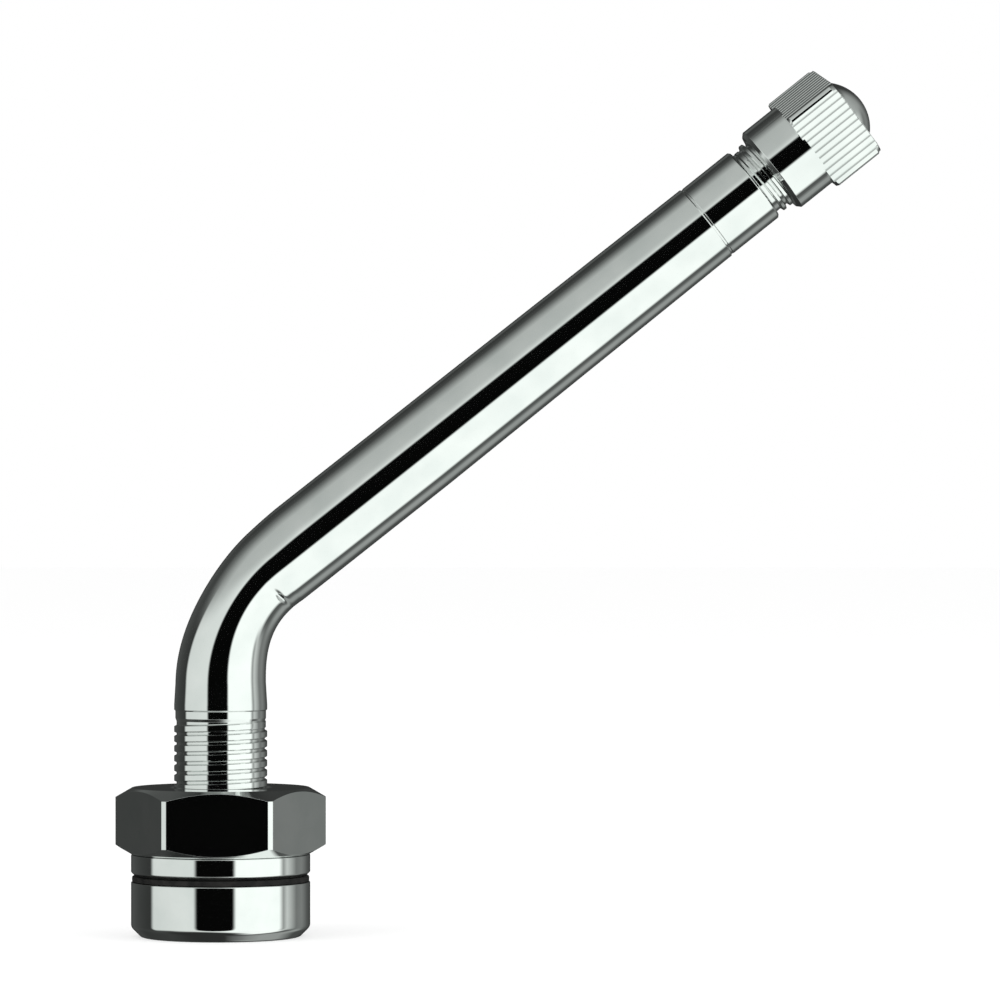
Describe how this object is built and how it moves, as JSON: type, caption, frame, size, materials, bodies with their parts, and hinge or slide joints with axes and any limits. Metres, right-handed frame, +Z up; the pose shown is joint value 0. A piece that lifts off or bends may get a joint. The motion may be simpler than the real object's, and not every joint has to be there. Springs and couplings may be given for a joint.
{
  "type": "tyre valve",
  "caption": "Bright-plated bent metal tyre valve with a round foot, rim seal, hexagon nut, sprung valve core and a grooved square screw cap.",
  "frame": {"origin": "centre of the rim seat, the foot's top face, on the neck's axis", "axes": "+Z up the neck, +X towards the side that the arm leans to"},
  "size_m": [0.0764, 0.0186, 0.0867],
  "materials": {
    "bright_plate": "polished bright plating",
    "black_rubber": "matt black rubber",
    "core_brass": "turned brass",
    "red_packing": "smooth red packing",
    "spring_steel": "drawn spring wire"
  },
  "bodies": {
    "stem": {"valve_stem": "bright_plate", "rim_seal": "black_rubber", "core_plug": "core_brass", "core_barrel": "core_brass", "core_gasket": "red_packing", "core_spring": "spring_steel"},
    "washer": {"ring_washer": "bright_plate"},
    "nut": {"rim_nut": "bright_plate"},
    "cap_seal": {"cap_gasket": "black_rubber"},
    "cap": {"cap_shell": "bright_plate"},
    "plunger": {"core_pin": "core_brass", "core_cup": "core_brass", "core_seal": "black_rubber"}
  },
  "joints": [
    {"name": "nut_travel", "type": "slide", "parent": "stem", "child": "washer", "axis": [0, 0, 1], "range_m": [0, 0.00586]},
    {"name": "nut_turn", "type": "hinge", "parent": "washer", "child": "nut", "pos_m": [0, 0, 0.003], "axis": [0, 0, 1], "range_deg": [0, 2160]},
    {"name": "cap_travel", "type": "slide", "parent": "stem", "child": "cap_seal", "axis": [0.7815, 0, 0.6239], "range_m": [0, 0.00794]},
    {"name": "cap_turn", "type": "hinge", "parent": "cap_seal", "child": "cap", "pos_m": [0.06139, 0, 0.07612], "axis": [0.7815, 0, 0.6239], "range_deg": [0, 3600]},
    {"name": "pin_press", "type": "slide", "parent": "stem", "child": "plunger", "axis": [0.7815, 0, 0.6239], "range_m": [-0.0016, 0], "stiffness_N_per_m": 900, "springref_m": 0.0015, "deforming": ["core_spring"]}
  ],
  "couplings": [
    {"joint": "nut_turn", "follows": "nut_travel", "rad_per_m": 6431.6},
    {"joint": "cap_turn", "follows": "cap_travel", "rad_per_m": 7915.8}
  ]
}
